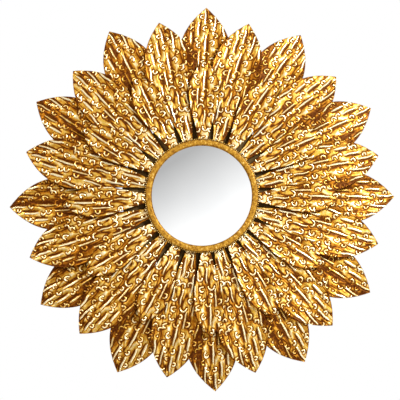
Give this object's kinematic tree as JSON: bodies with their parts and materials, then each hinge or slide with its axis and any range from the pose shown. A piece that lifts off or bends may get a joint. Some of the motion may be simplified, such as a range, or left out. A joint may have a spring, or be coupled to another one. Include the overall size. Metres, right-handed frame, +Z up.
{
  "type": "wall mirror",
  "caption": "Round wall mirror in a smooth gold rim, framed by layered rows of pressed, leaf-shaped gold petals, with a flat hanging bracket on its dark back board.",
  "frame": {"origin": "middle of the flat back of the hanging bracket, where it meets the wall, 110 mm above the middle of the glass", "axes": "+Z up, +Y into the wall, +X to the viewer's right; the mirror faces -Y"},
  "size_m": [0.8985, 0.042, 0.8978],
  "materials": {
    "pressed_gold": "pressed iron sheet in antique gold leaf, bright on the ridges and glazed dark brown in the hollows",
    "smooth_gold": "smooth antique gold with a faint mottle, satin",
    "mirror_glass": "clear silvered mirror",
    "dark_board": "dark brown painted board, matt",
    "bare_steel": "zinc plated strip"
  },
  "bodies": {
    "root": {"long_petal_01": "pressed_gold", "long_petal_02": "pressed_gold", "long_petal_03": "pressed_gold", "long_petal_04": "pressed_gold", "long_petal_05": "pressed_gold", "long_petal_06": "pressed_gold", "long_petal_07": "pressed_gold", "long_petal_08": "pressed_gold", "long_petal_09": "pressed_gold", "long_petal_10": "pressed_gold", "long_petal_11": "pressed_gold", "long_petal_12": "pressed_gold", "middle_petal_01": "pressed_gold", "middle_petal_02": "pressed_gold", "middle_petal_03": "pressed_gold", "middle_petal_04": "pressed_gold", "middle_petal_05": "pressed_gold", "middle_petal_06": "pressed_gold", "middle_petal_07": "pressed_gold", "middle_petal_08": "pressed_gold", "middle_petal_09": "pressed_gold", "middle_petal_10": "pressed_gold", "middle_petal_11": "pressed_gold", "middle_petal_12": "pressed_gold", "front_petal_01": "pressed_gold", "front_petal_02": "pressed_gold", "front_petal_03": "pressed_gold", "front_petal_04": "pressed_gold", "front_petal_05": "pressed_gold", "front_petal_06": "pressed_gold", "front_petal_07": "pressed_gold", "front_petal_08": "pressed_gold", "front_petal_09": "pressed_gold", "front_petal_10": "pressed_gold", "front_petal_11": "pressed_gold", "front_petal_12": "pressed_gold", "rim": "smooth_gold", "mirror_glass": "mirror_glass", "backing_disc": "dark_board", "hanging_bracket": "bare_steel"}
  },
  "joints": []
}
